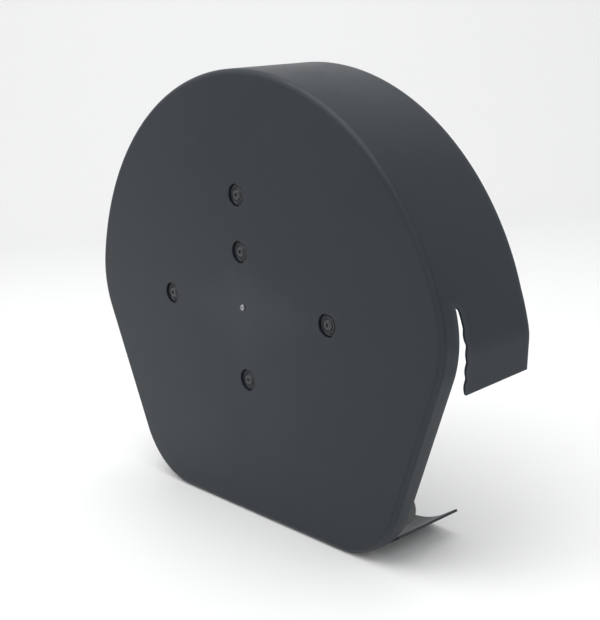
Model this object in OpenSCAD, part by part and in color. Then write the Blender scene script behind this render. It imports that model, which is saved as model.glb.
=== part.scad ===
// Hard spare tyre cover: a moulded shell with a deep skirt over its arched top,
// bolted through five pockets to a flat-bar cross that carries a wheel hub plate.
// +X is right, +Y runs from the face back towards the wheel, +Z is up. The origin
// is the centre of the wheel bolt circle on the hub plate's seating face.

/* [Cover outline] */
// Radius of the arched top
arch_r = 363; // [300:1:440]
// Height of the wheel centre above the arch centre
hub_rise = 45; // [30:1:60]
// Drop from the arch centre to the bottom edge
bottom_drop = 260; // [215:1:312]
// Lean of the two lower flats from the vertical, in degrees
flat_lean = 22; // [18:0.5:26]
// Distance that each flat cuts in from the arch's circle
flat_cut = 41; // [34:1:50]
// Radius of the two bottom corners
corner_r = 114; // [92:1:136]
// Radius that blends the arch into each flat
shoulder_r = 140; // [90:1:170]

/* [Shell] */
// Thickness of the moulded sheet
sheet = 3.5; // [2.5:0.1:5]
// Depth of the skirt over the arch and along the bottom
skirt_depth = 146; // [115:1:180]
// Depth of the narrow lip along the flats
lip_depth = 28; // [22:1:34]
// Gap between the lip and the hanging tab
slot_w = 11; // [7:0.5:16]
// Distance that each tab hangs below the arch centre
tab_drop = 13; // [5:1:30]
// Angle that each tab leans inwards from the vertical, in degrees
tab_lean = 8; // [4:0.5:12]
// Radius of the bend between the arch and each tab
tab_bend_r = 70; // [40:1:110]
// Rise of each bottom flap off the bottom, as an angle, in degrees
flap_rise = 32; // [26:1:38]
// Length of the straight end of each bottom flap
flap_len = 27; // [18:1:36]

/* [Face pockets] */
// Distance from the wheel centre to the left and right bolts
side_reach = 167; // [135:1:200]
// Distance from the wheel centre up to the top bolt
top_reach = 154; // [120:1:185]
// Distance from the wheel centre up to the middle bolt
middle_reach = 77; // [62:1:92]
// Distance from the wheel centre down to the bottom bolt
bottom_reach = 103; // [82:1:124]
// Radius of each round pocket
pocket_r = 15.2; // [12:0.1:18.3]
// Depth of each round pocket
pocket_depth = 6.5; // [5:0.1:9]

/* [Fasteners] */
// Shank diameter of the five bolts
bolt_d = 8; // [6:0.5:10]
// Diameter of the five bolt heads over their flange
head_d = 17.5; // [15:0.5:20]
// Height of the five bolt heads
head_h = 4.4; // [3.6:0.1:5.5]
// Width across the flats of each head's socket
socket_af = 5; // [4:0.5:6]
// Length of thread that shows past each weld nut
thread_end = 2; // [1:0.5:5]
// Width across the flats of the weld nuts
nut_af = 13; // [13:0.5:17]
// Height of the weld nuts
nut_h = 6.5; // [5:0.1:8]
// Clearance between a bolt and the holes that it passes through, on the radius
hole_gap = 0.4; // [0.3:0.05:0.8]
// Clearance between a cup washer and its pocket, on the radius
washer_gap = 0.4; // [0.2:0.05:0.8]
// Sheet thickness of the cup washers
washer_t = 1.2; // [0.8:0.1:1.6]
// Shank diameter of the centre screw
screw_d = 4.8; // [4:0.1:6]
// Head diameter of the centre screw
screw_head_d = 9; // [7.5:0.1:11]

/* [Bracket] */
// Width of both flat bars
bar_w = 40; // [32:1:50]
// Thickness of both flat bars
bar_t = 5; // [4:0.5:6]
// Length of bar past its outermost bolts
bar_end = 22; // [16:1:30]
// Diameter of the rivets that hold the bars together
rivet_d = 5; // [4:0.5:6]
// Distance from the cover's face back to the hub plate's seating face
seat_depth = 55; // [45:1:68]
// Diameter of the hub plate
hub_d = 140; // [126:1:170]
// Thickness of the hub plate
hub_t = 6; // [4:0.5:8]
// Diameter of the circle of wheel bolts
wheel_pcd = 100; // [98:1:112]
// Number of wheel bolts
wheel_bolts = 4; // [4, 5]
// Diameter of the wheel bolt holes
wheel_hole_d = 13.5; // [12.5:0.5:15]
// Diameter of the hub plate's centre bore
hub_bore_d = 60; // [50:0.5:64]
// Wall of the tube between the bars and the hub plate
tube_wall = 4; // [3:0.5:5]

/* [Corner buffers] */
// Diameter of each rubber buffer
buffer_d = 52; // [40:1:60]
// Length of each rubber buffer
buffer_len = 60; // [45:1:75]
// Gap between a buffer and the shell's lower walls
buffer_gap = 3; // [2:0.5:10]
// Thickness of each buffer's bonding pad
pad_t = 1.5; // [1:0.1:3]

/* [Hidden] */
$fn = 72;
shell_colour = [0.25, 0.27, 0.30];
black_steel = [0.16, 0.17, 0.18];
zinc = [0.72, 0.74, 0.76];
rubber = [0.20, 0.20, 0.20];

// Depths, all measured along +Y from the seating face
face_y = -seat_depth;
back_y = face_y + skirt_depth;
pocket_floor_y = face_y + pocket_depth;
bar_y = pocket_floor_y + sheet;
cross_y = bar_y + bar_t;
cross_back_y = cross_y + bar_t;
rim_back_y = face_y + lip_depth;
tab_y = rim_back_y + slot_w;

// Outline: each flat lies at flat_off from the arch centre, along its own normal
arch_z = -hub_rise;
flat_off = arch_r - flat_cut;
flat_in = flat_off - shoulder_r;
shoulder_run = sqrt(pow(arch_r - shoulder_r, 2) - pow(flat_in, 2));
shoulder_x = flat_in * cos(flat_lean) + shoulder_run * sin(flat_lean);
shoulder_z = shoulder_run * cos(flat_lean) - flat_in * sin(flat_lean);
shoulder_angle = atan2(shoulder_z, shoulder_x);
corner_z = corner_r - bottom_drop;
corner_x = (flat_off - corner_r + corner_z * sin(flat_lean)) / cos(flat_lean);

// A flap follows the corner until it has turned by flap_rise, then runs straight
flap_tip_x = corner_x + corner_r * sin(flap_rise) + flap_len * cos(flap_rise);
flap_tip_z = corner_z - corner_r * cos(flap_rise) + flap_len * sin(flap_rise);

// A tab follows the arch past the shoulder, then bends and runs straight
tab_kink = 0.55 * shoulder_angle;
tab_bend_x = (arch_r - tab_bend_r) * cos(tab_kink);
tab_bend_z = (arch_r - tab_bend_r) * sin(tab_kink);
tab_end_z = -tab_drop;

// Five bolt places as [x, z]
top_at = [0, top_reach];
middle_at = [0, middle_reach];
left_at = [-side_reach, 0];
right_at = [side_reach, 0];
bottom_at = [0, -bottom_reach];
places = [top_at, middle_at, left_at, right_at, bottom_at];
boss_r = pocket_r + sheet;
washer_r = pocket_r - washer_gap;
head_seat_y = pocket_floor_y - washer_t;
rim_h = pocket_depth - 0.8;
bolt_r = bolt_d / 2;
thread_gap = 0.05;
screw_r = screw_d / 2;
screw_head_r = screw_head_d / 2;
rivet_off = bar_w / 2 - 1.4 * rivet_d;
rivet_head_h = rivet_d / 4;

// A buffer sits inside the corner's arc, halfway round it
buffer_r = buffer_d / 2;
buffer_turn = (flap_rise - 90 - flat_lean) / 2;
buffer_off = corner_r - sheet - buffer_gap - buffer_r;
buffer_x = corner_x + buffer_off * cos(buffer_turn);
buffer_z = corner_z + buffer_off * sin(buffer_turn);

// Stands a flat shape up and carries it back from depth y, arch centre at x = z = 0
module from_depth(y, depth) {
    translate([0, y + depth, arch_z])
        rotate([90, 0, 0])
            linear_extrude(depth)
                children();
}

// A rod along +Y from depth y, centred on place at
module rod(at, y, length, r, sides = 48) {
    translate([at[0], y, at[1]])
        rotate([-90, 0, 0])
            cylinder(h = length, r = r, $fn = sides);
}

// A turned profile of [radius, depth] points about an axis along +Y at place at
module turned(at, y, points) {
    translate([at[0], y, at[1]])
        rotate([-90, 0, 0])
            rotate_extrude($fn = 64)
                polygon(points);
}

// Points along an arc about [x, z], from angle a to angle b
function arc(x, z, r, a, b, steps) =
    [for (i = [0:steps]) [x + r * cos(a + (b - a) * i / steps), z + r * sin(a + (b - a) * i / steps)]];

// The same points in the other order
function reversed(points) = [for (i = [len(points) - 1:-1:0]) points[i]];

// The left twin of a right-hand path that starts on the centre line
function flipped(points) = [for (i = [len(points) - 1:-1:1]) [-points[i][0], points[i][1]]];

// The arch from its crown down to the right shoulder, drawn in by inset
function arch_path(inset) = arc(0, 0, arch_r - inset, 90, shoulder_angle, 30);

// The whole right-hand half of the outline, drawn in by inset
function outline_path(inset) = concat(
    arch_path(inset),
    arc(shoulder_x, shoulder_z, shoulder_r - inset, shoulder_angle - 3, -flat_lean, 10),
    arc(corner_x, corner_z, corner_r - inset, -flat_lean, -90, 14)
);

// The arch and the right tab, which bends off it and hangs down
function tab_path(inset) =
    let (rest = arc(0, 0, arch_r - inset, shoulder_angle - 2, tab_kink, 3),
        bend = arc(tab_bend_x, tab_bend_z, tab_bend_r - inset, tab_kink - 2, -tab_lean, 6),
        last = bend[6],
        run = (last[1] - tab_end_z) * tan(tab_lean))
    concat(arch_path(inset), rest, bend, [[last[0] - run, tab_end_z]]);

// The bottom and the right flap, which rises with the corner and then runs straight
function flap_path(inset) = concat(
    [[0, inset - bottom_drop]],
    arc(corner_x, corner_z, corner_r - inset, -90, flap_rise - 90, 6),
    [[flap_tip_x - inset * sin(flap_rise), flap_tip_z + inset * cos(flap_rise)]]
);

// A band of wall that follows a path on the right and its twin on the left
module band(outer, inner) {
    polygon(concat(flipped(outer), outer, reversed(inner), reversed(flipped(inner))));
}

module outline(inset) {
    right_side = outline_path(inset);
    polygon(concat(right_side, flipped(right_side)));
}

// The face sheet, with a pocket for each bolt and a hole for the centre screw
module cover_face() {
    color(shell_colour)
        difference() {
            union() {
                from_depth(face_y, sheet)
                    outline(0);
                for (at = places)
                    rod(at, face_y + sheet / 2, bar_y - face_y - sheet / 2, boss_r);
                rod([0, 0], face_y + sheet / 2, bar_y - face_y - sheet / 2, 2 * screw_head_r);
            }
            for (at = places) {
                rod(at, face_y - 1, pocket_depth + 1, pocket_r);
                rod(at, face_y, bar_y - face_y + 1, bolt_r + hole_gap);
            }
            rod([0, 0], face_y - 1, bar_y - face_y + 2, screw_r + hole_gap);
        }
}

// The low wall that turns back from the face all the way round
module cover_rim() {
    color(shell_colour)
        difference() {
            from_depth(face_y + sheet, lip_depth - sheet)
                outline(0);
            from_depth(face_y, 2 * lip_depth)
                outline(sheet);
        }
}

// The deep wall over the arch, and past each shoulder a tab that hangs free behind a slot
module arch_skirt() {
    color(shell_colour)
        union() {
            from_depth(rim_back_y, slot_w)
                band(arch_path(0), arch_path(sheet));
            from_depth(tab_y, back_y - tab_y)
                band(tab_path(0), tab_path(sheet));
        }
}

// The deep wall along the bottom, and past each corner a flap that rises free behind a slot
module bottom_skirt() {
    color(shell_colour)
        union() {
            from_depth(rim_back_y, slot_w)
                translate([-corner_x, -bottom_drop])
                    square([2 * corner_x, sheet]);
            from_depth(tab_y, back_y - tab_y)
                band(flap_path(0), flap_path(sheet));
        }
}

// A dished washer that lines a pocket, with a rolled rim
module cup_washer(at) {
    inner = bolt_r + hole_gap;
    rim = washer_r - washer_t;
    color(black_steel)
        turned(at, pocket_floor_y, [
            [inner, 0],
            [washer_r, 0],
            [washer_r, -rim_h + washer_t / 2],
            [washer_r - washer_t / 2, -rim_h],
            [rim, -rim_h + washer_t / 2],
            [rim - washer_t, -washer_t],
            [inner, -washer_t]
        ]);
}

// A flanged button-head bolt with a hexagon socket, threaded into the nut behind
module button_bolt(at, nut_y) {
    flange_r = head_d / 2;
    dome_r = 0.8 * flange_r;
    color(black_steel)
        difference() {
            union() {
                turned(at, head_seat_y, [
                    [0, 0],
                    [flange_r, 0],
                    [flange_r, -0.2 * head_h],
                    [dome_r, -0.32 * head_h],
                    [0.9 * dome_r, -0.68 * head_h],
                    [0.68 * dome_r, -0.9 * head_h],
                    [0.45 * dome_r, -head_h],
                    [0, -head_h]
                ]);
                rod(at, head_seat_y - head_h / 4, nut_y + nut_h + thread_end - head_seat_y + head_h / 4, bolt_r);
            }
            rod(at, head_seat_y - head_h - 1, 0.6 * head_h + 1, socket_af / sqrt(3), 6);
        }
}

// A hexagon nut welded to the back of a bar
module weld_nut(at, y) {
    color(black_steel)
        difference() {
            rod(at, y, nut_h, nut_af / sqrt(3), 6);
            rod(at, y - 1, nut_h + 2, bolt_r + thread_gap);
        }
}

module centre_screw() {
    color(zinc)
        difference() {
            union() {
                turned([0, 0], face_y, [
                    [0, 0],
                    [screw_head_r, 0],
                    [screw_head_r, -0.2 * screw_head_r],
                    [0.8 * screw_head_r, -0.45 * screw_head_r],
                    [0.4 * screw_head_r, -0.6 * screw_head_r],
                    [0, -0.6 * screw_head_r]
                ]);
                rod([0, 0], face_y - 0.2, cross_back_y - face_y + thread_end, screw_r);
            }
            for (turn = [0, 90])
                translate([0, face_y - 0.6 * screw_head_r, 0])
                    rotate([0, turn, 0])
                        cube([screw_head_r, 0.6 * screw_head_r, 0.22 * screw_head_r], center = true);
        }
}

// The front bar, behind the top, middle and bottom pockets
module vertical_bar() {
    low = bottom_reach + bar_end;
    color(black_steel)
        difference() {
            translate([-bar_w / 2, bar_y, -low])
                cube([bar_w, bar_t, low + top_reach + bar_end]);
            for (at = [top_at, middle_at, bottom_at])
                rod(at, bar_y - 1, bar_t + 2, bolt_r + hole_gap);
            cross_holes(bar_y);
        }
}

// The rear bar, behind the left and right pockets
module horizontal_bar() {
    reach = side_reach + bar_end;
    color(black_steel)
        difference() {
            translate([-reach, cross_y, -bar_w / 2])
                cube([2 * reach, bar_t, bar_w]);
            for (at = [left_at, right_at])
                rod(at, cross_y - 1, bar_t + 2, bolt_r + hole_gap);
            cross_holes(cross_y);
        }
}

// Rivet holes and the centre screw's hole, through one bar from depth y
module cross_holes(y) {
    for (x = [-rivet_off, rivet_off], z = [-rivet_off, rivet_off])
        rod([x, z], y - 1, bar_t + 2, rivet_d / 2 + thread_gap);
    rod([0, 0], y - 1, bar_t + 2, screw_r + thread_gap);
}

// Fills the gap between a side pocket and the rear bar
module bar_spacer(at) {
    color(black_steel)
        difference() {
            rod(at, bar_y, bar_t, pocket_r);
            rod(at, bar_y - 1, bar_t + 2, bolt_r + hole_gap);
        }
}

module bar_rivets() {
    color(zinc)
        for (x = [-rivet_off, rivet_off], z = [-rivet_off, rivet_off]) {
            rod([x, z], bar_y - rivet_head_h, rivet_head_h, 0.9 * rivet_d);
            rod([x, z], bar_y - 0.1, 2 * bar_t + 0.2, rivet_d / 2);
            rod([x, z], cross_back_y, rivet_head_h, 0.9 * rivet_d);
        }
}

module hub_tube() {
    tube_r = hub_bore_d / 2 + tube_wall + 2;
    length = -hub_t - cross_back_y;
    color(black_steel)
        difference() {
            rod([0, 0], cross_back_y, length, tube_r, 72);
            rod([0, 0], cross_back_y - 1, length + 2, tube_r - tube_wall, 72);
        }
}

module hub_plate() {
    color(black_steel)
        difference() {
            rod([0, 0], -hub_t, hub_t, hub_d / 2, 96);
            rod([0, 0], -hub_t - 1, hub_t + 2, hub_bore_d / 2, 72);
            for (i = [0:wheel_bolts - 1]) {
                a = 45 + i * 360 / wheel_bolts;
                at = [wheel_pcd / 2 * cos(a), wheel_pcd / 2 * sin(a)];
                rod(at, -hub_t - 1, hub_t + 2, wheel_hole_d / 2);
            }
        }
}

// A tapered rubber stop, side is -1 for left and 1 for right
module buffer(side) {
    nose = 0.3 * buffer_r;
    color(rubber)
        turned([side * buffer_x, buffer_z + arch_z], face_y + sheet + pad_t, [
            [0, 0],
            [buffer_r, 0],
            [buffer_r, 0.15 * buffer_len],
            [0.94 * buffer_r, buffer_len - nose],
            [0.85 * buffer_r, buffer_len - 0.3 * nose],
            [0.7 * buffer_r, buffer_len],
            [0, buffer_len]
        ]);
}

module buffer_pad(side) {
    color(black_steel)
        rod([side * buffer_x, buffer_z + arch_z], face_y + sheet, pad_t, buffer_r);
}

cover_face();
cover_rim();
arch_skirt();
bottom_skirt();
cup_washer(top_at);  // cup_washer_top
cup_washer(middle_at);  // cup_washer_middle
cup_washer(left_at);  // cup_washer_left
cup_washer(right_at);  // cup_washer_right
cup_washer(bottom_at);  // cup_washer_bottom
button_bolt(top_at, cross_y);  // bolt_top
button_bolt(middle_at, cross_y);  // bolt_middle
button_bolt(left_at, cross_back_y);  // bolt_left
button_bolt(right_at, cross_back_y);  // bolt_right
button_bolt(bottom_at, cross_y);  // bolt_bottom
weld_nut(top_at, cross_y);  // weld_nut_top
weld_nut(middle_at, cross_y);  // weld_nut_middle
weld_nut(left_at, cross_back_y);  // weld_nut_left
weld_nut(right_at, cross_back_y);  // weld_nut_right
weld_nut(bottom_at, cross_y);  // weld_nut_bottom
centre_screw();
vertical_bar();
horizontal_bar();
bar_spacer(left_at);  // bar_spacer_left
bar_spacer(right_at);  // bar_spacer_right
bar_rivets();
hub_tube();
hub_plate();
buffer(-1);  // buffer_left
buffer(1);  // buffer_right
buffer_pad(-1);  // buffer_pad_left
buffer_pad(1);  // buffer_pad_right
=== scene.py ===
import bmesh
import bpy
import math
import numpy as np
from mathutils import Matrix, Vector, geometry


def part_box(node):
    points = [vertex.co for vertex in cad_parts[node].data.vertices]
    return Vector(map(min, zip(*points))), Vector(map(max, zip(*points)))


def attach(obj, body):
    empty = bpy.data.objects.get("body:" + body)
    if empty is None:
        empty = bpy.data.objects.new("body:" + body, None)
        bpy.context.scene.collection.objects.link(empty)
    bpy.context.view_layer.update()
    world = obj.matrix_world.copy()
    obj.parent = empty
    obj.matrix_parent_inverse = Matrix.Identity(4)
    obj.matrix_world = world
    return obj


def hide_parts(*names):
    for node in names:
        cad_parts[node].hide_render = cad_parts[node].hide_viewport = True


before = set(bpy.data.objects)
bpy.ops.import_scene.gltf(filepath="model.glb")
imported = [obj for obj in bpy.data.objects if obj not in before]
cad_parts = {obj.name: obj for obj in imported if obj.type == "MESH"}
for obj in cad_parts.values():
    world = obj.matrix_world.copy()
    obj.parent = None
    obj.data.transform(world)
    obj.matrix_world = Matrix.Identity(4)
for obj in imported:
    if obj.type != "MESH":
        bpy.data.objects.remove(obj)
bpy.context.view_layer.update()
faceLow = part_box("cover_face")[0]
scene = bpy.context.scene
scene.view_settings.view_transform = "Standard"
print("frame loaded:", len(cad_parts), "nodes")

# the cover's shape in metres and degrees, x and z from the arch centre, depth from the face
cover = dict(
    archRadius=0.363, flatCut=0.041, flatLean=22, bottomDrop=0.260,
    shoulderRadius=0.140, cornerRadius=0.114, wall=0.0035,
    edgeRound=0.008, lipDepth=0.028, draft=0.020,
    tabBend=0.070, tabLean=8, tabDrop=0.013, tabFrontLonger=0.0055, tabRearShorter=0.004,
    tabKink=0.55, tabSlotTop=0.004, tabSlot=0.013, tabFlare=0.045,
    tabBumps=4, tabBumpSize=0.0024, tabBumpStart=0.25,
    flapRise=32, flapLength=0.027, flapSlot=0.004,
    pocketRadius=0.0152, pocketDepth=0.0065, pocketMouth=0.0012, pocketFloorRound=0.0015,
    boltHole=0.0044, screwHole=0.0028, cutRound=0.0009, cutAngle=55,
)
faceY = faceLow.y
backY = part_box("arch_skirt")[1].y
archZ = faceLow.z + cover["bottomDrop"]
skirtDepth = backY - faceY


# turns arrays of points and faces into an object at the origin, with doubles merged
def makePiece(name, points, faces, material, outward=None):
    mesh = bpy.data.meshes.new(name)
    mesh.from_pydata(np.asarray(points).tolist(), [], [list(map(int, f)) for f in faces])
    work = bmesh.new()
    work.from_mesh(mesh)
    bmesh.ops.remove_doubles(work, verts=work.verts, dist=2e-6)
    bmesh.ops.dissolve_degenerate(work, edges=work.edges, dist=1e-7)
    bmesh.ops.recalc_face_normals(work, faces=work.faces)
    if outward is not None:  # an open sheet has no inside, so one face settles its direction
        key = min(work.faces, key=lambda f: (f.calc_center_median() - outward[0]).length)
        if key.normal.dot(outward[1]) < 0:
            bmesh.ops.reverse_faces(work, faces=work.faces)
    work.to_mesh(mesh)
    work.free()
    mesh.polygons.foreach_set("use_smooth", np.ones(len(mesh.polygons), dtype=bool))
    mesh.materials.append(material)
    piece = bpy.data.objects.new(name, mesh)
    scene.collection.objects.link(piece)
    return piece


# quads between the rows of a grid of points, with row and column counts
def gridFaces(rows, columns, wrap=False):
    i, j = np.meshgrid(np.arange(rows - 1), np.arange(columns if wrap else columns - 1), indexing="ij")
    k = (j + 1) % columns
    quads = np.stack([i * columns + j, i * columns + k, (i + 1) * columns + k, (i + 1) * columns + j], -1)
    return quads.reshape(-1, 4)


# a row of corners, each inner one rounded by a quadratic curve from one radius before it to one after
def roundedProfile(corners, radii, steps=4):
    corners = np.asarray(corners, float)
    path = [corners[0]]
    t = np.linspace(0, 1, steps + 1)[:, None]
    for before, corner, after, radius in zip(corners, corners[1:], corners[2:], radii):
        start = corner + (before - corner) / np.linalg.norm(before - corner) * radius
        end = corner + (after - corner) / np.linalg.norm(after - corner) * radius
        path.extend((1 - t) ** 2 * start + 2 * t * (1 - t) * corner + t ** 2 * end)
    path.append(corners[-1])
    return np.array(path)


# a turned piece: x = radius cos turn, z = radius sin turn, y = depth; radii may vary with the turn
def latheGrid(radii, depths, centre, steps):
    turn = np.arange(steps) * 2 * np.pi / steps
    radii = np.broadcast_to(np.asarray(radii, float).reshape(len(depths), -1), (len(depths), steps))
    x = centre[0] + radii * np.cos(turn)
    z = centre[1] + radii * np.sin(turn)
    y = np.broadcast_to(np.asarray(depths, float)[:, None], x.shape)
    return np.stack([x, y, z], -1).reshape(-1, 3)


# distance from the centre to the side of a hexagon of this width across its flats, at each turn
def hexagonRadius(acrossFlats, steps):
    turn = np.arange(steps) * 2 * np.pi / steps
    return acrossFlats / 2 / np.cos((turn + np.pi / 6) % (np.pi / 3) - np.pi / 6)


lean = math.radians(cover["flatLean"])
flatOff = cover["archRadius"] - cover["flatCut"]
flatIn = flatOff - cover["shoulderRadius"]
shoulderRun = math.sqrt((cover["archRadius"] - cover["shoulderRadius"]) ** 2 - flatIn ** 2)
shoulderCentre = np.array([
    flatIn * math.cos(lean) + shoulderRun * math.sin(lean),
    shoulderRun * math.cos(lean) - flatIn * math.sin(lean),
])
shoulderTurn = math.atan2(shoulderCentre[1], shoulderCentre[0])
cornerZ = cover["cornerRadius"] - cover["bottomDrop"]
cornerX = (flatOff - cover["cornerRadius"] + cornerZ * math.sin(lean)) / math.cos(lean)
cornerCentre = np.array([cornerX, cornerZ])
archSteps, shoulderSteps, flatSteps, cornerSteps, bottomSteps = 80, 18, 14, 36, 14
# the slot starts one step of the arch above the shoulder
slotTurn = shoulderTurn + (math.pi / 2 - shoulderTurn) / archSteps


# points and outward normals on an arc about centre, from one turn to another
def arcPoints(centre, radius, start, end, steps):
    turn = np.linspace(start, end, steps + 1)
    normal = np.stack([np.cos(turn), np.sin(turn)], -1)
    return np.asarray(centre) + radius * normal, normal


# the right half of the outline from crown to bottom: arch, shoulder, flat, corner and bottom, end to end
def halfOutline():
    arch = arcPoints((0, 0), cover["archRadius"], np.pi / 2, shoulderTurn, archSteps)
    shoulder = arcPoints(shoulderCentre, cover["shoulderRadius"], shoulderTurn, -lean, shoulderSteps)
    corner = arcPoints(cornerCentre, cover["cornerRadius"], -lean, -np.pi / 2, cornerSteps)
    t = np.linspace(0, 1, flatSteps + 1)[1:-1, None]
    flat = shoulder[0][-1] * (1 - t) + corner[0][0] * t
    t = np.linspace(0, 1, bottomSteps + 1)[1:, None]
    bottom = corner[0][-1] * (1 - t) + np.array([0, -cover["bottomDrop"]]) * t
    points = [arch[0], shoulder[0][1:], flat, corner[0], bottom]
    normals = [arch[1], shoulder[1][1:], np.tile(corner[1][0], (len(flat), 1)), corner[1],
               np.tile([0.0, -1.0], (len(bottom), 1))]
    return np.vstack(points), np.vstack(normals)


# a closed loop from the right half and its mirror image
def mirroredLoop(half):
    return np.vstack([half, half[-2:0:-1] * [-1, 1]])


# x and z of a path with a depth from the face, as points in the frame
def place(path, depth):
    x, z = np.moveaxis(np.asarray(path), -1, 0)
    return np.stack([x, np.broadcast_to(faceY + depth, x.shape), z + archZ], -1)


# the tab leaves the arch at a share of the shoulder's turn, and its straight end leans inwards
tabKinkTurn = cover["tabKink"] * shoulderTurn
tabLeanTurn = math.radians(cover["tabLean"])


# the tab's point at each distance past the slot's top: along the arch, round the bend, then straight down
def tabPoints(distance):
    radius, bend = cover["archRadius"], cover["tabBend"]
    archRun = radius * (slotTurn - tabKinkTurn)
    bendRun = bend * (tabKinkTurn + tabLeanTurn)
    turnA = slotTurn - np.minimum(distance, archRun) / radius
    turnB = tabKinkTurn - np.clip(distance - archRun, 0, bendRun) / bend
    straight = np.maximum(distance - archRun - bendRun, 0)
    centre = (radius - bend) * np.array([math.cos(tabKinkTurn), math.sin(tabKinkTurn)])
    onArch = radius * np.stack([np.cos(turnA), np.sin(turnA)], -1)
    onBend = centre + bend * np.stack([np.cos(turnB), np.sin(turnB)], -1)
    down = np.array([-math.sin(tabLeanTurn), -math.cos(tabLeanTurn)])
    turn = np.where(distance > archRun, turnB, turnA)
    points = np.where((distance > archRun)[..., None], onBend + straight[..., None] * down, onArch)
    return points, np.stack([np.cos(turn), np.sin(turn)], -1)


# the tab's length from the slot's top: its run on the arch, its bend, and its drop over the lean's cosine
def tabLength():
    bend = cover["tabBend"]
    straightTop = (cover["archRadius"] - bend) * math.sin(tabKinkTurn) - bend * math.sin(tabLeanTurn)
    return (cover["archRadius"] * (slotTurn - tabKinkTurn) + bend * (tabKinkTurn + tabLeanTurn)
            + (straightTop + cover["tabDrop"]) / math.cos(tabLeanTurn))


# the flap's point at each distance past the corner's start: round the corner, then straight
def flapPoints(distance):
    rise = math.radians(cover["flapRise"])
    cornerRun = cover["cornerRadius"] * rise
    turn = -np.pi / 2 + np.minimum(distance, cornerRun) / cover["cornerRadius"]
    straight = np.maximum(distance - cornerRun, 0)
    normal = np.stack([np.cos(turn), np.sin(turn)], -1)
    onCorner = cornerCentre + cover["cornerRadius"] * normal
    return onCorner + straight[..., None] * np.array([math.cos(rise), math.sin(rise)]), normal


# a new node in a tree, with its settings and plain input values
def addNode(tree, kind, settings=None, **values):
    node = tree.nodes.new("ShaderNode" + kind)
    for name, value in (settings or {}).items():
        setattr(node, name, value)
    for name, value in values.items():
        node.inputs[name.replace("_", " ")].default_value = value
    return node


# a node group with named sockets, given as name: (type, default) pairs
def newGroup(name, inputs, outputs):
    tree = bpy.data.node_groups.new(name, "ShaderNodeTree")
    for label, (kind, default) in inputs.items():
        socket = tree.interface.new_socket(label, in_out="INPUT", socket_type="NodeSocket" + kind)
        socket.default_value = default
    for label, kind in outputs.items():
        tree.interface.new_socket(label, in_out="OUTPUT", socket_type="NodeSocket" + kind)
    return tree, tree.nodes.new("NodeGroupInput"), tree.nodes.new("NodeGroupOutput")


# fine leather-like grain: rounded cells a millimetre across, broken up by noise
def grainGroup():
    sockets = {"Cells Per Metre": ("Float", 900.0), "Roughening": ("Float", 0.4)}
    tree, entry, leave = newGroup("mouldedGrain", sockets, {"Height": "Float", "Pits": "Float"})
    link = tree.links.new
    coord = addNode(tree, "TexCoord")
    cells = addNode(tree, "TexVoronoi", {"feature": "SMOOTH_F1"}, Smoothness=0.6)
    noise = addNode(tree, "TexNoise", Detail=3.0)
    double = addNode(tree, "Math", {"operation": "MULTIPLY"})
    double.inputs[1].default_value = 1.7
    mix = addNode(tree, "Mix", {"data_type": "FLOAT"})
    pits = addNode(tree, "MapRange", From_Min=0.35, From_Max=0.7)
    link(coord.outputs["Object"], cells.inputs["Vector"])
    link(coord.outputs["Object"], noise.inputs["Vector"])
    link(entry.outputs["Cells Per Metre"], cells.inputs["Scale"])
    link(entry.outputs["Cells Per Metre"], double.inputs[0])
    link(double.outputs[0], noise.inputs["Scale"])
    link(entry.outputs["Roughening"], mix.inputs["Factor"])
    link(cells.outputs["Distance"], mix.inputs[2])
    link(noise.outputs["Fac"], mix.inputs[3])
    link(mix.outputs[0], leave.inputs["Height"])
    link(mix.outputs[0], pits.inputs["Value"])
    link(pits.outputs["Result"], leave.inputs["Pits"])
    return tree


# soft cloudy patches from two sizes of noise, as a mask from 0 to 1
def cloudGroup():
    sockets = {"Scale": ("Float", 6.0), "Low": ("Float", 0.35), "High": ("Float", 0.7)}
    tree, entry, leave = newGroup("cloudyTone", sockets, {"Mask": "Float"})
    link = tree.links.new
    coord = addNode(tree, "TexCoord")
    noise = addNode(tree, "TexNoise", Detail=5.0, Roughness=0.55, Distortion=0.4)
    spread = addNode(tree, "MapRange", {"interpolation_type": "SMOOTHSTEP"})
    link(coord.outputs["Object"], noise.inputs["Vector"])
    link(entry.outputs["Scale"], noise.inputs["Scale"])
    link(noise.outputs["Fac"], spread.inputs["Value"])
    link(entry.outputs["Low"], spread.inputs["From Min"])
    link(entry.outputs["High"], spread.inputs["From Max"])
    link(spread.outputs["Result"], leave.inputs["Mask"])
    return tree


# thin rubbed lines: stretched noise kept only where it peaks
def scuffGroup():
    sockets = {"Scale": ("Float", 30.0), "Amount": ("Float", 0.5)}
    tree, entry, leave = newGroup("rubbedLines", sockets, {"Mask": "Float"})
    link = tree.links.new
    coord = addNode(tree, "TexCoord")
    stretch = addNode(tree, "Mapping", Scale=(1.0, 4.0, 9.0), Rotation=(0.3, 0.5, 0.7))
    noise = addNode(tree, "TexNoise", Detail=6.0, Roughness=0.7)
    peak = addNode(tree, "MapRange", From_Min=0.62, From_Max=0.74)
    amount = addNode(tree, "Math", {"operation": "MULTIPLY"})
    link(coord.outputs["Object"], stretch.inputs["Vector"])
    link(stretch.outputs["Vector"], noise.inputs["Vector"])
    link(entry.outputs["Scale"], noise.inputs["Scale"])
    link(noise.outputs["Fac"], peak.inputs["Value"])
    link(peak.outputs["Result"], amount.inputs[0])
    link(entry.outputs["Amount"], amount.inputs[1])
    link(amount.outputs[0], leave.inputs["Mask"])
    return tree


effects = dict(grain=grainGroup(), cloud=cloudGroup(), scuff=scuffGroup())


# places an effect group in a material with its own values
def useEffect(tree, effect, **values):
    node = tree.nodes.new("ShaderNodeGroup")
    node.node_tree = effects[effect]
    for name, value in values.items():
        node.inputs[name.replace("_", " ")].default_value = value
    return node


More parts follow.
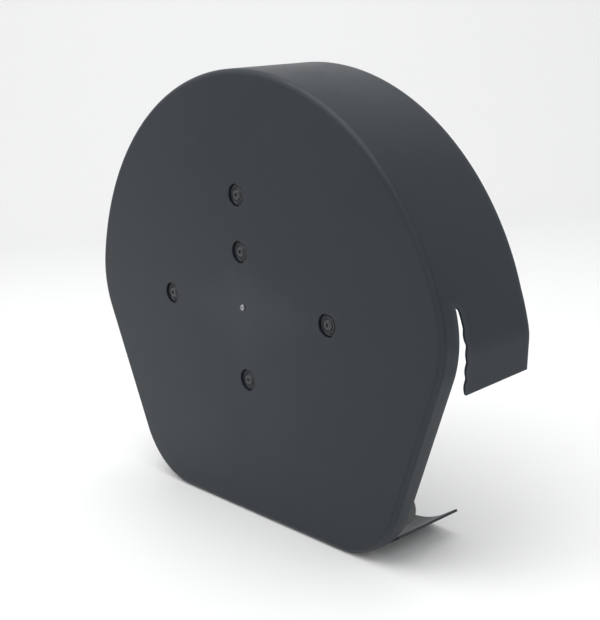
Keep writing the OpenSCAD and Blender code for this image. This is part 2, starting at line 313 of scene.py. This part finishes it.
# mixes two colours by a mask, and gives the mixed colour's socket
def mixColour(tree, mask, first, second):
    mix = tree.nodes.new("ShaderNodeMix")
    mix.data_type = "RGBA"
    tree.links.new(mask, mix.inputs["Factor"])
    for value, socket in ((first, mix.inputs[6]), (second, mix.inputs[7])):
        if hasattr(value, "links"):
            tree.links.new(value, socket)
        else:
            socket.default_value = (*value, 1)
    return mix.outputs[2]


# a value that runs from low to high as its mask goes from 0 to 1
def ranged(tree, mask, low, high):
    node = addNode(tree, "MapRange", To_Min=low, To_Max=high)
    tree.links.new(mask, node.inputs["Value"])
    return node.outputs["Result"]


# a finish from one dictionary: two tones, scuffs, a range of roughness and a grain height in metres
def makeFinish(name, values):
    material = bpy.data.materials.new(name)
    material.use_nodes = True
    tree = material.node_tree
    shader = tree.nodes["Principled BSDF"]
    shader.inputs["Metallic"].default_value = values.get("metallic", 0.0)
    shader.inputs["Specular IOR Level"].default_value = values.get("specular", 0.5)
    cloud = useEffect(tree, "cloud", Scale=values["cloudScale"])
    scuff = useEffect(tree, "scuff", Scale=values.get("scuffScale", 30.0), Amount=values["scuffs"])
    grain = useEffect(tree, "grain", Cells_Per_Metre=values["grainScale"])
    colour = mixColour(tree, cloud.outputs["Mask"], values["dark"], values["light"])
    colour = mixColour(tree, scuff.outputs["Mask"], colour, values["worn"])
    tree.links.new(colour, shader.inputs["Base Color"])
    tree.links.new(ranged(tree, cloud.outputs["Mask"], *values["roughness"]), shader.inputs["Roughness"])
    bump = addNode(tree, "Bump", Strength=1.0, Distance=values["grainHeight"])
    tree.links.new(grain.outputs["Height"], bump.inputs["Height"])
    tree.links.new(bump.outputs["Normal"], shader.inputs["Normal"])
    return material


# colours are linear, scales are per metre and grain heights are in metres
finishes = dict(
    blackPlate=dict(dark=(0.018, 0.019, 0.022), light=(0.030, 0.032, 0.036), worn=(0.10, 0.10, 0.11),
                    metallic=0.55, roughness=(0.30, 0.42), cloudScale=160, scuffScale=500, scuffs=0.5,
                    grainScale=2600, grainHeight=0.00002),
    greyPlate=dict(dark=(0.030, 0.034, 0.038), light=(0.045, 0.050, 0.055), worn=(0.12, 0.12, 0.13),
                   metallic=0.35, roughness=(0.30, 0.42), cloudScale=160, scuffScale=500, scuffs=0.5,
                   grainScale=2600, grainHeight=0.00002),
    powderCoat=dict(dark=(0.012, 0.012, 0.014), light=(0.019, 0.019, 0.021), worn=(0.06, 0.06, 0.065),
                    roughness=(0.38, 0.52), cloudScale=30, scuffScale=60, scuffs=0.4,
                    grainScale=1400, grainHeight=0.00006),
    brightZinc=dict(dark=(0.20, 0.21, 0.22), light=(0.42, 0.43, 0.44), worn=(0.75, 0.75, 0.74),
                    metallic=1.0, roughness=(0.26, 0.44), cloudScale=300, scuffScale=500, scuffs=0.4,
                    grainScale=3000, grainHeight=0.00002),
    bareSteel=dict(dark=(0.20, 0.19, 0.18), light=(0.36, 0.35, 0.34), worn=(0.52, 0.50, 0.47),
                   metallic=1.0, roughness=(0.30, 0.50), cloudScale=140, scuffScale=300, scuffs=0.6,
                   grainScale=2200, grainHeight=0.00003),
    nylon=dict(dark=(0.035, 0.035, 0.037), light=(0.050, 0.050, 0.052), worn=(0.09, 0.09, 0.09),
               roughness=(0.36, 0.46), cloudScale=80, scuffs=0.2, grainScale=2000, grainHeight=0.00002),
    rubber=dict(dark=(0.050, 0.050, 0.049), light=(0.085, 0.084, 0.081), worn=(0.14, 0.14, 0.135),
                roughness=(0.62, 0.80), cloudScale=60, scuffScale=90, scuffs=0.5,
                grainScale=1500, grainHeight=0.00008),
    foamTape=dict(dark=(0.02, 0.02, 0.02), light=(0.035, 0.035, 0.034), worn=(0.06, 0.06, 0.06),
                  roughness=(0.80, 0.95), cloudScale=90, scuffs=0.2, grainScale=1800, grainHeight=0.0002),
)

shellFinish = dict(dark=(0.0085, 0.0140, 0.0195), light=(0.0120, 0.0182, 0.0248),
                   # the edge colour is painted on the rounded and cut edges: part painted highlight, part
                   # rubbed wear
                   worn=(0.036, 0.043, 0.050), smudge=(0.026, 0.032, 0.037), edge=(0.033, 0.040, 0.048),
                   roughness=(0.40, 0.50),
                   grainScale=900, grainHeight=0.00014, roughening=0.45, specular=0.32,
                   cloudScale=5.0, smudgeScale=17.0, smudgeLow=0.60, smudgeHigh=0.80, smudgeAmount=0.22,
                   scuffScale=26.0, scuffs=0.16, edgeBreak=0.55, pitRoughness=(-0.03, 0.05),
                   waveScale=7.0, waveStrength=0.5, waveHeight=0.0012)


# the moulded plastic: cloudy tone, faint smudges, paler edges that are part painted highlight and part
# rubbed wear, fine grain and slow waves
def shellMaterial():
    values = shellFinish
    material = bpy.data.materials.new("grained_plastic")
    material.use_nodes = True
    tree = material.node_tree
    link = tree.links.new
    shader = tree.nodes["Principled BSDF"]
    shader.inputs["Specular IOR Level"].default_value = values["specular"]
    cloud = useEffect(tree, "cloud", Scale=values["cloudScale"])
    smudge = useEffect(tree, "cloud", Scale=values["smudgeScale"], Low=values["smudgeLow"],
                       High=values["smudgeHigh"])
    scuff = useEffect(tree, "scuff", Scale=values["scuffScale"], Amount=values["scuffs"])
    grain = useEffect(tree, "grain", Cells_Per_Metre=values["grainScale"],
                      Roughening=values["roughening"])
    # the paler rounded and cut edges, broken up by the smudge noise: part painted highlight, part rubbed
    # wear
    edge = addNode(tree, "Attribute", {"attribute_name": "edge"})
    edgeNoise = addNode(tree, "Math", {"operation": "MULTIPLY"})
    link(edge.outputs["Fac"], edgeNoise.inputs[0])
    link(ranged(tree, smudge.outputs["Mask"], values["edgeBreak"], 1.0), edgeNoise.inputs[1])
    smudged = ranged(tree, smudge.outputs["Mask"], 0.0, values["smudgeAmount"])
    colour = mixColour(tree, cloud.outputs["Mask"], values["dark"], values["light"])
    colour = mixColour(tree, smudged, colour, values["smudge"])
    colour = mixColour(tree, scuff.outputs["Mask"], colour, values["worn"])
    colour = mixColour(tree, edgeNoise.outputs[0], colour, values["edge"])
    link(colour, shader.inputs["Base Color"])
    rough = addNode(tree, "Math", {"operation": "ADD"})
    link(ranged(tree, cloud.outputs["Mask"], *values["roughness"]), rough.inputs[0])
    link(ranged(tree, grain.outputs["Pits"], *values["pitRoughness"]), rough.inputs[1])
    link(rough.outputs[0], shader.inputs["Roughness"])
    coord = addNode(tree, "TexCoord")
    waves = addNode(tree, "TexNoise", Scale=values["waveScale"], Detail=1.0)
    link(coord.outputs["Object"], waves.inputs["Vector"])
    slow = addNode(tree, "Bump", Strength=values["waveStrength"], Distance=values["waveHeight"])
    fine = addNode(tree, "Bump", Strength=1.0, Distance=values["grainHeight"])
    link(waves.outputs["Fac"], slow.inputs["Height"])
    link(grain.outputs["Height"], fine.inputs["Height"])
    link(slow.outputs["Normal"], fine.inputs["Normal"])
    link(fine.outputs["Normal"], shader.inputs["Normal"])
    return material


materials = {name: makeFinish(name, values) for name, values in finishes.items()}
materials["shell"] = shellMaterial()
print("materials made:", len(materials))


boltPlaces = {}
for label in ("top", "middle", "left", "right", "bottom"):
    low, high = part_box("bolt_" + label)
    boltPlaces[label] = np.array([(low.x + high.x) / 2, (low.z + high.z) / 2 - archZ])
screwLow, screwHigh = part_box("centre_screw")
screwPlace = np.array([(screwLow.x + screwHigh.x) / 2, (screwLow.z + screwHigh.z) / 2 - archZ])


# the flat face: the outline and the rims of its holes as edges, filled with triangles between them
def faceFill(rim, holes):
    loops = [rim] + holes
    points = np.vstack(loops)
    edges = []
    start = 0
    for loop in loops:
        index = np.arange(len(loop))
        edges += np.stack([start + index, start + (index + 1) % len(loop)], -1).tolist()
        start += len(loop)
    found = geometry.delaunay_2d_cdt([Vector(p) for p in points], edges, [], 1, 1e-7)
    flat = np.array([tuple(v) for v in found[0]])
    triangles = np.array(found[2])
    middle = flat[triangles].mean(1)
    keep = np.ones(len(triangles), dtype=bool)
    for hole in holes:
        centre = hole.mean(0)
        keep &= np.linalg.norm(middle - centre, axis=1) > np.linalg.norm(hole[0] - centre)
    return flat, triangles[keep]


# a pocket's wall and floor: rings about its centre, from the rounded mouth to the bolt's hole
def pocketGrid(centre, steps):
    radius, depth, mouth = cover["pocketRadius"], cover["pocketDepth"], cover["pocketMouth"]
    corners = [[radius + mouth, 0], [radius, 0], [radius, depth], [cover["boltHole"], depth]]
    profile = roundedProfile(corners, [mouth * 0.999, cover["pocketFloorRound"]])
    rows = latheGrid(profile[:, 0], faceY + profile[:, 1], (centre[0], centre[1] + archZ), steps)
    return rows, gridFaces(len(profile), steps, wrap=True)


# shares of a tab's and a flap's length over which its slot opens to full width
tabSlotRun, flapSlotRun, flapSteps = 0.05, 0.25, 16


# the outer skin as one welded sheet: face, rounded edge and lip, arch with tabs, bottom with flaps
def makeShell():
    points, faces = [], []

    def add(newPoints, newFaces):
        start = sum(len(p) for p in points)
        points.append(np.asarray(newPoints).reshape(-1, 3))
        faces.extend((np.asarray(newFaces) + start).tolist())

    half, halfNormal = halfOutline()
    loop, normal = mirroredLoop(half), mirroredLoop(halfNormal)
    radius = cover["edgeRound"]
    turn = np.linspace(0, np.pi / 2, 10)
    inset = np.append(radius * (1 - np.sin(turn)), [0, 0])
    lip = cover["lipDepth"]
    depth = np.append(radius * (1 - np.cos(turn)), [(radius + lip) / 2, lip])
    cup = place(loop + (cover["draft"] * depth - inset)[:, None, None] * normal, depth[:, None])
    add(cup, gridFaces(len(depth), len(loop), wrap=True))

    pocketSteps = 64
    ring = np.arange(pocketSteps) * 2 * np.pi / pocketSteps
    circle = np.stack([np.cos(ring), np.sin(ring)], -1)
    holes = [at + circle * (cover["pocketRadius"] + cover["pocketMouth"]) for at in boltPlaces.values()]
    holes.append(screwPlace + circle[::2] * cover["screwHole"])
    flat, triangles = faceFill(loop - radius * normal, holes)
    add(place(flat, 0.0), triangles)
    for at in boltPlaces.values():
        add(*pocketGrid(at, pocketSteps))

    # arch and tabs: rows run from the front edge to the rear edge, columns from tab to tab
    rows, columns = 14, 44
    t = np.linspace(0, 1, rows + 1)[:, None]
    share = np.linspace(0, 1, columns + 1)[None, 1:]
    length = tabLength() + cover["tabFrontLonger"] * (1 - t) - cover["tabRearShorter"] * t
    distance = share * length
    bumpStart = cover["tabBumpStart"]
    wave = np.clip((share - bumpStart) / (1 - bumpStart), 0, 1) * cover["tabBumps"]
    front = (lip + cover["tabSlotTop"] * np.minimum(share / tabSlotRun, 1)
             + (cover["tabSlot"] - cover["tabSlotTop"]) * np.sqrt(share)
             - cover["tabBumpSize"] * np.abs(np.sin(np.pi * wave)))
    tabDepth = front + (skirtDepth - front) * t
    path, normal = tabPoints(distance)
    flare = cover["draft"] * tabDepth + cover["tabFlare"] * (tabDepth - lip) * share
    tab = place(path + flare[..., None] * normal, tabDepth)
    archDepth = lip + (skirtDepth - lip) * t
    arch = half[:archSteps] + cover["draft"] * archDepth[..., None] * halfNormal[:archSteps]
    archGrid = place(arch, archDepth)
    right = np.concatenate([archGrid, tab], 1)
    whole = np.concatenate([right[:, :0:-1] * [-1, 1, 1], right], 1)
    add(whole, gridFaces(rows + 1, whole.shape[1]))

    # bottom and flaps, the same way
    share = np.linspace(0, 1, flapSteps + 1)[None, 1:]
    flapLength = cover["cornerRadius"] * math.radians(cover["flapRise"]) + cover["flapLength"]
    distance = np.broadcast_to(share * flapLength, (rows + 1, flapSteps))
    front = lip + cover["flapSlot"] * np.minimum(share / flapSlotRun, 1)
    flapDepth = front + (skirtDepth - front) * t
    path, normal = flapPoints(distance)
    flap = place(path + cover["draft"] * lip * normal, flapDepth)
    floor = half[:-bottomSteps - 2:-1] + cover["draft"] * lip * np.array([0, -1])
    floorGrid = place(np.broadcast_to(floor, (rows + 1, len(floor), 2)), archDepth)
    right = np.concatenate([floorGrid, flap], 1)
    whole = np.concatenate([right[:, :0:-1] * [-1, 1, 1], right], 1)
    add(whole, gridFaces(rows + 1, whole.shape[1]))

    front = (Vector((0.05, faceY, archZ)), Vector((0, -1, 0)))
    shell = makePiece("grained_shell", np.vstack(points), faces, materials["shell"], outward=front)
    paintEdgeHighlightAndWear(shell)
    solid = shell.modifiers.new("wall", "SOLIDIFY")
    solid.thickness = cover["wall"]
    solid.offset = -1
    bevel = shell.modifiers.new("soft_cut_edges", "BEVEL")
    bevel.width = cover["cutRound"]
    bevel.segments = 2
    bevel.limit_method = "ANGLE"
    bevel.angle_limit = math.radians(cover["cutAngle"])
    weigh = shell.modifiers.new("flat_faces_stay_flat", "WEIGHTED_NORMAL")
    weigh.keep_sharp = True
    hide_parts("cover_face", "cover_rim", "arch_skirt", "bottom_skirt")
    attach(shell, "root")


# where the shell's edges are painted paler and how strongly: part painted highlight, part rubbed wear
edgeHighlightAndWearSpread = dict(peak=0.30, rounded=0.75, cut=0.9, clearOfPockets=0.20)


# an attribute from 0 to 1 that peaks part way round the face's rounded edge and along cut edges; it
# paints those edges paler, part painted highlight and part rubbed wear
def paintEdgeHighlightAndWear(shell):
    mesh = shell.data
    work = bmesh.new()
    work.from_mesh(mesh)
    onCut = np.array([any(e.is_boundary for e in v.link_edges) for v in work.verts], float)
    work.free()
    co = np.zeros(len(mesh.vertices) * 3)
    mesh.vertices.foreach_get("co", co)
    depth = co.reshape(-1, 3)[:, 1] - faceY
    peak = edgeHighlightAndWearSpread["peak"] * cover["edgeRound"]
    rounded = np.clip(1 - np.abs(depth - peak) / peak, 0, 1)
    rounded *= np.hypot(co[0::3], co[2::3] - archZ) > edgeHighlightAndWearSpread["clearOfPockets"]
    # the painted highlight and the wear on the edges, as one mark
    highlightAndWear = np.maximum(edgeHighlightAndWearSpread["rounded"] * rounded, edgeHighlightAndWearSpread["cut"] * onCut)
    edge = mesh.attributes.new("edge", "FLOAT", "POINT")
    edge.data.foreach_set("value", highlightAndWear.astype(np.float32))


makeShell()
print("shell made")


washerShape = dict(sheet=0.0012, gap=0.0004, rimDepth=0.0036, rimWidth=1.6, coneWidth=2.6,
                   rounds=(0.0002, 0.0003, 0.0009, 0.0009, 0.0010, 0.0003), steps=72)
boltShape = dict(flange=0.0098, dome=0.0080, height=0.0044, crown=0.55, shoulder=0.88,
                 shoulderDrop=0.0007, domeDrop=0.0030, flangeDrop=0.0034, shank=0.0040, tip=0.0032,
                 tipLength=0.0008, rounds=(0.0012, 0.0007, 0.0004, 0.0002, 0.0002, 0.0003, 0.0002),
                 socket=0.005, socketDepth=0.0018, socketCone=0.0008, socketChamfer=0.0003,
                 socketFloor=0.97, socketMouth=1.06, steps=72)


# a dished washer: its closed section turned about the bolt, flat floor, coned wall and rolled rim,
# the widths of rim and cone being multiples of the sheet
def makeWasher(label, at):
    shape = washerShape
    outer = cover["pocketRadius"] - shape["gap"]
    floor = cover["pocketDepth"]
    rim = shape["rimDepth"]
    t = shape["sheet"]
    bore = cover["boltHole"]
    corners = [[bore, floor - t / 2], [bore, floor], [outer, floor], [outer, rim],
               [outer - shape["rimWidth"] * t, rim], [outer - shape["coneWidth"] * t, floor - t],
               [bore, floor - t], [bore, floor - t / 2]]
    profile = roundedProfile(corners, shape["rounds"], 5)
    rows = latheGrid(profile[:, 0], faceY + profile[:, 1], (at[0], at[1] + archZ), shape["steps"])
    washer = makePiece("dished_washer_" + label, rows, gridFaces(len(profile), shape["steps"], wrap=True),
                       materials["blackPlate"])
    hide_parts("cup_washer_" + label)
    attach(washer, "root")


# a bolt: rings from the socket's floor up its six sides, over the dome and flange, and along the shank
def makeBolt(label, at):
    shape = boltShape
    steps = shape["steps"]
    seat = cover["pocketDepth"] - washerShape["sheet"]
    top = seat - shape["height"]
    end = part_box("bolt_" + label)[1].y - faceY
    hexagon = hexagonRadius(shape["socket"], steps)
    corners = [[shape["crown"] * shape["dome"], top],
               [shape["shoulder"] * shape["dome"], top + shape["shoulderDrop"]],
               [shape["dome"], top + shape["domeDrop"]], [shape["flange"], top + shape["flangeDrop"]],
               [shape["flange"], seat], [shape["shank"], seat],
               [shape["shank"], end - shape["tipLength"]], [shape["tip"], end], [0, end]]
    head = roundedProfile(corners, shape["rounds"], 4)
    chamfer = shape["socketChamfer"]
    inner = [np.zeros(steps), hexagon * shape["socketFloor"], hexagon, hexagon,
             hexagon * shape["socketMouth"]]
    floor = top + shape["socketDepth"]
    innerDepth = [floor + shape["socketCone"], floor, floor - chamfer, top + chamfer, top]
    radii = np.vstack(inner + [np.full(steps, r) for r in head[:, 0]])
    depths = faceY + np.append(innerDepth, head[:, 1])
    rows = latheGrid(radii, depths, (at[0], at[1] + archZ), steps)
    bolt = makePiece("button_bolt_" + label, rows, gridFaces(len(depths), steps, wrap=True),
                     materials["greyPlate"])
    bolt.data.set_sharp_from_angle(angle=math.radians(50))
    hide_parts("bolt_" + label)
    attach(bolt, "root")


screwShape = dict(domeRows=22, domePower=0.6, shank=0.0024, tip=0.0012, tipLength=0.004,
                  crossTurn=25, crossArm=0.6, crossHalfWidth=0.0009, crossDepth=0.9, steps=96)


# the centre screw: a low pan head with a cross recess that deepens towards its middle
def makeScrew():
    shape = screwShape
    steps = shape["steps"]
    head = screwHigh.x - screwPlace[0]
    height = faceY - screwLow.y
    end = screwHigh.y - faceY
    t = np.linspace(0, 1, shape["domeRows"])
    domeRadius = head * np.sin(t * np.pi / 2)
    domeDepth = -height * np.cos(t * np.pi / 2) ** shape["domePower"]
    radii = np.concatenate([domeRadius, [head, shape["shank"], shape["shank"], shape["tip"], 0]])
    depths = np.concatenate([domeDepth, [0, 0, end - shape["tipLength"], end, end]])
    rows = latheGrid(radii, faceY + depths, (screwPlace[0], screwPlace[1] + archZ), steps)
    x = rows[:, 0] - screwPlace[0]
    z = rows[:, 2] - screwPlace[1] - archZ
    slope = math.radians(shape["crossTurn"])
    u = np.abs(x * math.cos(slope) + z * math.sin(slope))
    v = np.abs(z * math.cos(slope) - x * math.sin(slope))
    width, reach = shape["crossHalfWidth"], shape["crossArm"] * head
    arm = np.maximum((u < width) * (v < reach), (v < width) * (u < reach))
    onDome = np.arange(len(rows)) < shape["domeRows"] * steps
    rows[:, 1] += onDome * arm * shape["crossDepth"] * height * (1 - np.hypot(x, z) / head)
    screw = makePiece("bright_centre_screw", rows, gridFaces(len(radii), steps, wrap=True),
                      materials["brightZinc"])
    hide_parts("centre_screw")
    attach(screw, "root")


for label, at in boltPlaces.items():
    makeWasher(label, at)
    makeBolt(label, at)
makeScrew()
print("fasteners made")


bufferShape = dict(taper=0.94, noseRound=0.007, ribs=3, ribDepth=0.0008, ribStart=0.15, ribEnd=0.75,
                   footInset=0.001, footRound=0.0006, footRing=0.7, noseRing=0.6, noseDish=0.0008,
                   rows=60, steps=72)


# a buffer: a turned body that tapers, with shallow grooves round it and a rounded nose
def makeBuffer(side):
    shape = bufferShape
    low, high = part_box("buffer_" + side)
    centre = ((low.x + high.x) / 2, (low.z + high.z) / 2)
    radius = (high.x - low.x) / 2
    length = high.y - low.y
    t = np.linspace(0, 1, shape["rows"])
    body = radius * (1 - (1 - shape["taper"]) * t)
    along = np.clip((t - shape["ribStart"]) / (shape["ribEnd"] - shape["ribStart"]), 0, 1)
    body -= shape["ribDepth"] * (0.5 - 0.5 * np.cos(2 * np.pi * along * shape["ribs"]))
    noseShare = shape["noseRound"] / length
    fall = np.clip((t - 1 + noseShare) / noseShare, 0, 1)
    body -= shape["noseRound"] * (1 - np.sqrt(1 - fall ** 2))
    foot = [0, radius * shape["footRing"], radius - shape["footInset"]]
    radii = np.concatenate([foot, body, [body[-1] * shape["noseRing"], 0]])
    noseDepths = [high.y, high.y - shape["noseDish"]]
    depths = np.concatenate([[low.y, low.y, low.y], low.y + length * t, noseDepths])
    depths[3] = low.y + shape["footRound"]
    rows = latheGrid(radii, depths, centre, shape["steps"])
    piece = makePiece("rubber_buffer_" + side, rows, gridFaces(len(radii), shape["steps"], wrap=True),
                      materials["rubber"])
    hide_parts("buffer_" + side)
    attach(piece, "root")


for side in ("left", "right"):
    makeBuffer(side)
print("buffers made")


# widths of the softened edges, in metres, and finishes of the steel parts behind the face
bracketEdges = dict(vertical_bar=0.0007, horizontal_bar=0.0007, hub_plate=0.0008, hub_tube=0.0005,
                    bar_rivets=0.0005, bar_spacer_left=0.0004, bar_spacer_right=0.0004,
                    buffer_pad_left=0.0003, buffer_pad_right=0.0003)
bracketFinish = dict(bar_rivets="brightZinc", bar_spacer_left="nylon", bar_spacer_right="nylon",
                     buffer_pad_left="foamTape", buffer_pad_right="foamTape")
for label in boltPlaces:
    bracketEdges["weld_nut_" + label] = 0.0005
    bracketFinish["weld_nut_" + label] = "bareSteel"


# a copy of a frame part with its doubles merged, flat faces joined and sharp edges bevelled
def softenPart(node, width):
    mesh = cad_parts[node].data.copy()
    work = bmesh.new()
    work.from_mesh(mesh)
    bmesh.ops.remove_doubles(work, verts=work.verts, dist=1e-6)
    flatWithin = math.radians(0.5)
    bmesh.ops.dissolve_limit(work, angle_limit=flatWithin, verts=work.verts, edges=work.edges)
    bmesh.ops.recalc_face_normals(work, faces=work.faces)
    sharp = [e for e in work.edges if e.is_manifold and e.calc_face_angle() > math.radians(40)]
    bmesh.ops.bevel(work, geom=sharp, offset=width, segments=2, profile=0.5, affect="EDGES")
    work.to_mesh(mesh)
    work.free()
    mesh.polygons.foreach_set("use_smooth", np.ones(len(mesh.polygons), dtype=bool))
    mesh.set_sharp_from_angle(angle=math.radians(35))
    mesh.materials.clear()
    mesh.materials.append(materials[bracketFinish.get(node, "powderCoat")])
    piece = bpy.data.objects.new(node + "_finished", mesh)
    scene.collection.objects.link(piece)
    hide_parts(node)
    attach(piece, "root")


for node, width in bracketEdges.items():
    softenPart(node, width)
print("bracket finished")


view = dict(
    azimuth=48.98, elevation=13.19, roll=-3.14, distance=1.3463, lens=61.1768, sensor=36,
    target=(0.1183, 0.0, 0.0583),  # x, depth and z from the arch centre on the face
)
stageShape = dict(floorHalf=6.0, back=2.6, front=-6.0, sweep=1.2, wallHeight=4.0)


# a pale sweep: a floor that runs back, turns up through a quarter circle and becomes the wall
def makeSweep():
    shape = stageShape
    floorZ = faceLow.z
    turn = np.linspace(0, np.pi / 2, 24)
    y = np.concatenate([[shape["front"]], shape["back"] + shape["sweep"] * np.sin(turn),
                        [shape["back"] + shape["sweep"]]])
    z = np.concatenate([[0], shape["sweep"] * (1 - np.cos(turn)), [shape["wallHeight"]]]) + floorZ
    x = np.linspace(-shape["floorHalf"], shape["floorHalf"], 2)
    # the sweep faces the camera, so it is laid out along the view and turned with it
    a = math.radians(view["azimuth"])
    across = np.array([math.cos(a), math.sin(a)])
    along = np.array([-math.sin(a), math.cos(a)])
    grid = x[None, :, None] * across + y[:, None, None] * along
    points = np.concatenate([grid, np.broadcast_to(z[:, None, None], (len(z), 2, 1))], -1)
    material = bpy.data.materials.new("pale_floor")
    material.use_nodes = True
    shader = material.node_tree.nodes["Principled BSDF"]
    shader.inputs["Base Color"].default_value = (0.88, 0.88, 0.875, 1)
    shader.inputs["Roughness"].default_value = 0.55
    sweep = makePiece("pale_sweep", points.reshape(-1, 3), gridFaces(len(y), 2), material)


# the direction from the cover at an azimuth and elevation, azimuth 0 being straight in front
def outward(a, e):
    return Vector((math.sin(a) * math.cos(e), -math.cos(a) * math.cos(e), math.sin(e)))


# an area light at a direction and distance from the cover, facing it
def addLight(name, azimuth, elevation, distance, size, power):
    out = outward(math.radians(azimuth), math.radians(elevation))
    data = bpy.data.lights.new(name, "AREA")
    data.shape = "RECTANGLE"
    data.size, data.size_y = size
    data.energy = power
    light = bpy.data.objects.new(name, data)
    light.location = out * distance
    light.rotation_euler = out.to_track_quat("Z", "Y").to_euler()
    scene.collection.objects.link(light)


# the camera: its eye is the target plus the outward direction times the distance, rolled about that line
def makeCamera():
    a, e, r = (math.radians(view[k]) for k in ("azimuth", "elevation", "roll"))
    back = outward(a, e)
    side = (-back).cross(Vector((0, 0, 1))).normalized()
    up = side.cross(-back)
    right = side * math.cos(r) + up * math.sin(r)
    top = up * math.cos(r) - side * math.sin(r)
    target = Vector((view["target"][0], faceY + view["target"][1], archZ + view["target"][2]))
    eye = target + back * view["distance"]
    data = bpy.data.cameras.new("camera")
    data.sensor_width = view["sensor"]
    data.lens = view["lens"]
    camera = bpy.data.objects.new("camera", data)
    camera.matrix_world = Matrix.Translation(eye) @ Matrix((right, top, back)).transposed().to_4x4()
    scene.collection.objects.link(camera)
    scene.camera = camera


makeSweep()
addLight("overhead_softbox", 0, 80, 2.6, (2.4, 2.4), 44)
addLight("left_softbox", -35, 30, 3.2, (1.8, 2.4), 14)
addLight("right_fill", 100, 35, 3.4, (2.0, 2.0), 6)
world = bpy.data.worlds.new("studio")
world.use_nodes = True
sky = world.node_tree.nodes["Background"]
sky.inputs["Color"].default_value = (0.98, 0.985, 1.0, 1)
sky.inputs["Strength"].default_value = 0.84
scene.world = world
makeCamera()
print("stage, lights and camera set")
